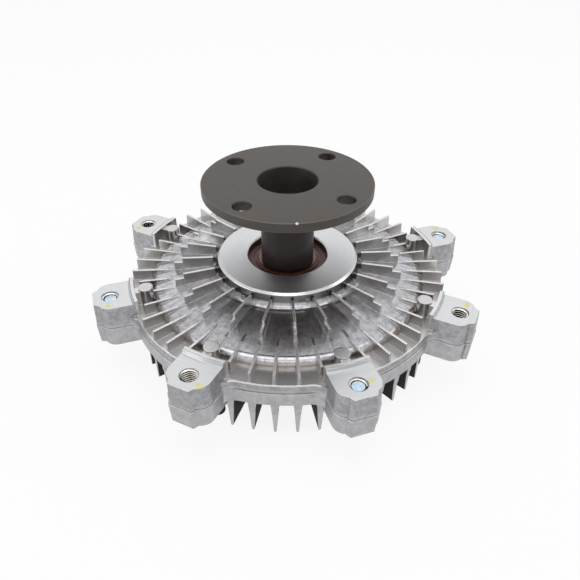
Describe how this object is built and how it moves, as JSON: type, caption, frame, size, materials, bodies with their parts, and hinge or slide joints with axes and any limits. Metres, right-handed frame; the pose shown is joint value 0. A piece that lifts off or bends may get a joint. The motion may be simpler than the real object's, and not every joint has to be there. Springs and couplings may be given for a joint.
{
  "type": "viscous fan clutch",
  "caption": "Viscous fan clutch: finned aluminium housing with fan ears, sealed bearing, steel input shaft with bolt flange, rotor, valve and bimetal coil.",
  "frame": {"origin": "on the shaft axis, in the plane of the front cover's fin tips that the clutch stands on", "axes": "+Z along the shaft axis towards the input flange; the fan ears start at -116.05 degrees from +X and repeat every 45 degrees"},
  "size_m": [0.201, 0.201, 0.0928],
  "materials": {
    "cast_aluminium": "satin",
    "dark_steel": "satin",
    "bearing_steel": "polished",
    "seal_rubber": "matt",
    "black_rubber": "matt",
    "cage_steel": "satin",
    "zinc_steel": "satin",
    "spring_steel": "satin",
    "rotor_aluminium": "satin",
    "bimetal": "satin"
  },
  "bodies": {
    "housing": {"rear_cover": "cast_aluminium", "front_cover": "cast_aluminium", "cover_seal": "black_rubber", "bearing_outer_ring": "bearing_steel", "bearing_seal_rear": "seal_rubber", "bearing_seal_front": "seal_rubber", "bearing_retaining_ring": "spring_steel", "divider_plate": "cage_steel", "divider_screws": "zinc_steel", "rod_seal": "black_rubber", "filler_plug": "bearing_steel", "coil_bracket": "cage_steel", "bracket_screw": "zinc_steel", "case_bolts": "zinc_steel", "lock_washers": "spring_steel", "bimetal_coil": "bimetal"},
    "input": {"input_shaft": "dark_steel", "bearing_inner_ring": "bearing_steel", "rotor": "rotor_aluminium", "rotor_retaining_ring": "spring_steel"},
    "ball_set": {"bearing_balls": "bearing_steel", "bearing_cage": "cage_steel"},
    "valve": {"bimetal_rod": "bearing_steel", "valve_arm": "cage_steel", "rod_clip": "spring_steel"}
  },
  "joints": [
    {"name": "shaft_spin", "type": "hinge", "parent": "housing", "child": "input", "pos_m": [0, 0, 0.0395], "axis": [0, 0, 1], "continuous": true},
    {"name": "ball_spin", "type": "hinge", "parent": "housing", "child": "ball_set", "pos_m": [0, 0, 0.0395], "axis": [0, 0, 1], "continuous": true},
    {"name": "valve_turn", "type": "hinge", "parent": "housing", "child": "valve", "pos_m": [0, 0, 0.014], "axis": [0, 0, 1], "range_deg": [0, 32], "deforming": ["bimetal_coil"]}
  ],
  "couplings": [
    {"joint": "ball_spin", "follows": "shaft_spin", "ratio": 0.3987}
  ]
}
